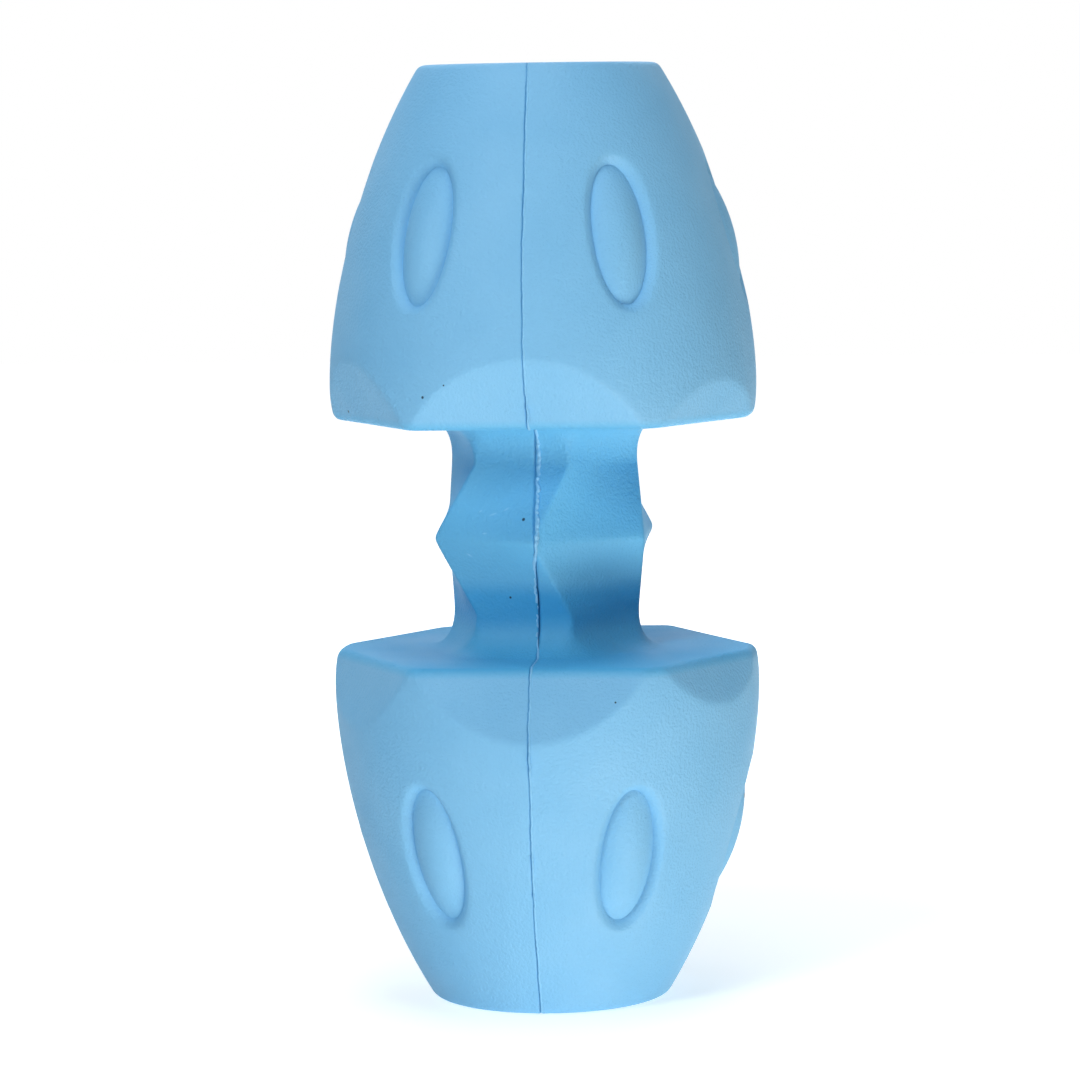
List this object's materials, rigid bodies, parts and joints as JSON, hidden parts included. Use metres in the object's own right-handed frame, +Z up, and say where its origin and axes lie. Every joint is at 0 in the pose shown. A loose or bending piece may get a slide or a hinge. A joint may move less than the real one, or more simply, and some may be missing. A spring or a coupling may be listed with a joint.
{
  "type": "treat dispensing dog toy",
  "caption": "Treat dispensing dog toy: hollow bell-shaped rubber lobes joined rim to rim by a faceted neck, with oval pads outside and flexing petal gates inside the open ends.",
  "frame": {"origin": "centre of the lower end face, on the surface that the toy stands on", "axes": "+Z up along the toy's axis, -Y towards the front seam, +X to the right of it"},
  "size_m": [0.0762, 0.0756, 0.1672],
  "materials": {
    "shell_rubber": "matte, fine pebbled",
    "gate_rubber": "matte, soft"
  },
  "bodies": {
    "toy_body": {"left_half_shell": "shell_rubber", "right_half_shell": "shell_rubber", "upper_gate_ring": "gate_rubber", "lower_gate_ring": "gate_rubber"},
    "upper_gate_petal_1": {"upper_gate_petal_1": "gate_rubber"},
    "upper_gate_petal_2": {"upper_gate_petal_2": "gate_rubber"},
    "upper_gate_petal_3": {"upper_gate_petal_3": "gate_rubber"},
    "upper_gate_petal_4": {"upper_gate_petal_4": "gate_rubber"},
    "upper_gate_petal_5": {"upper_gate_petal_5": "gate_rubber"},
    "upper_gate_petal_6": {"upper_gate_petal_6": "gate_rubber"},
    "lower_gate_petal_1": {"lower_gate_petal_1": "gate_rubber"},
    "lower_gate_petal_2": {"lower_gate_petal_2": "gate_rubber"},
    "lower_gate_petal_3": {"lower_gate_petal_3": "gate_rubber"},
    "lower_gate_petal_4": {"lower_gate_petal_4": "gate_rubber"},
    "lower_gate_petal_5": {"lower_gate_petal_5": "gate_rubber"},
    "lower_gate_petal_6": {"lower_gate_petal_6": "gate_rubber"}
  },
  "joints": [
    {"name": "upper_petal_1_flex", "type": "hinge", "parent": "toy_body", "child": "upper_gate_petal_1", "pos_m": [0, -0.0114, 0.1594], "axis": [-1, 0, 0], "range_deg": [-50, 65], "stiffness_Nm_per_rad": 0.004},
    {"name": "upper_petal_2_flex", "type": "hinge", "parent": "toy_body", "child": "upper_gate_petal_2", "pos_m": [0.00987, -0.0057, 0.1594], "axis": [-0.5, -0.866, 0], "range_deg": [-50, 65], "stiffness_Nm_per_rad": 0.004},
    {"name": "upper_petal_3_flex", "type": "hinge", "parent": "toy_body", "child": "upper_gate_petal_3", "pos_m": [0.00987, 0.0057, 0.1594], "axis": [0.5, -0.866, 0], "range_deg": [-50, 65], "stiffness_Nm_per_rad": 0.004},
    {"name": "upper_petal_4_flex", "type": "hinge", "parent": "toy_body", "child": "upper_gate_petal_4", "pos_m": [0, 0.0114, 0.1594], "axis": [1, 0, 0], "range_deg": [-50, 65], "stiffness_Nm_per_rad": 0.004},
    {"name": "upper_petal_5_flex", "type": "hinge", "parent": "toy_body", "child": "upper_gate_petal_5", "pos_m": [-0.00987, 0.0057, 0.1594], "axis": [0.5, 0.866, 0], "range_deg": [-50, 65], "stiffness_Nm_per_rad": 0.004},
    {"name": "upper_petal_6_flex", "type": "hinge", "parent": "toy_body", "child": "upper_gate_petal_6", "pos_m": [-0.00987, -0.0057, 0.1594], "axis": [-0.5, 0.866, 0], "range_deg": [-50, 65], "stiffness_Nm_per_rad": 0.004},
    {"name": "lower_petal_1_flex", "type": "hinge", "parent": "toy_body", "child": "lower_gate_petal_1", "pos_m": [0, -0.0114, 0.0078], "axis": [1, 0, 0], "range_deg": [-50, 65], "stiffness_Nm_per_rad": 0.004},
    {"name": "lower_petal_2_flex", "type": "hinge", "parent": "toy_body", "child": "lower_gate_petal_2", "pos_m": [0.00987, -0.0057, 0.0078], "axis": [0.5, 0.866, 0], "range_deg": [-50, 65], "stiffness_Nm_per_rad": 0.004},
    {"name": "lower_petal_3_flex", "type": "hinge", "parent": "toy_body", "child": "lower_gate_petal_3", "pos_m": [0.00987, 0.0057, 0.0078], "axis": [-0.5, 0.866, 0], "range_deg": [-50, 65], "stiffness_Nm_per_rad": 0.004},
    {"name": "lower_petal_4_flex", "type": "hinge", "parent": "toy_body", "child": "lower_gate_petal_4", "pos_m": [0, 0.0114, 0.0078], "axis": [-1, 0, 0], "range_deg": [-50, 65], "stiffness_Nm_per_rad": 0.004},
    {"name": "lower_petal_5_flex", "type": "hinge", "parent": "toy_body", "child": "lower_gate_petal_5", "pos_m": [-0.00987, 0.0057, 0.0078], "axis": [-0.5, -0.866, 0], "range_deg": [-50, 65], "stiffness_Nm_per_rad": 0.004},
    {"name": "lower_petal_6_flex", "type": "hinge", "parent": "toy_body", "child": "lower_gate_petal_6", "pos_m": [-0.00987, -0.0057, 0.0078], "axis": [0.5, -0.866, 0], "range_deg": [-50, 65], "stiffness_Nm_per_rad": 0.004}
  ]
}
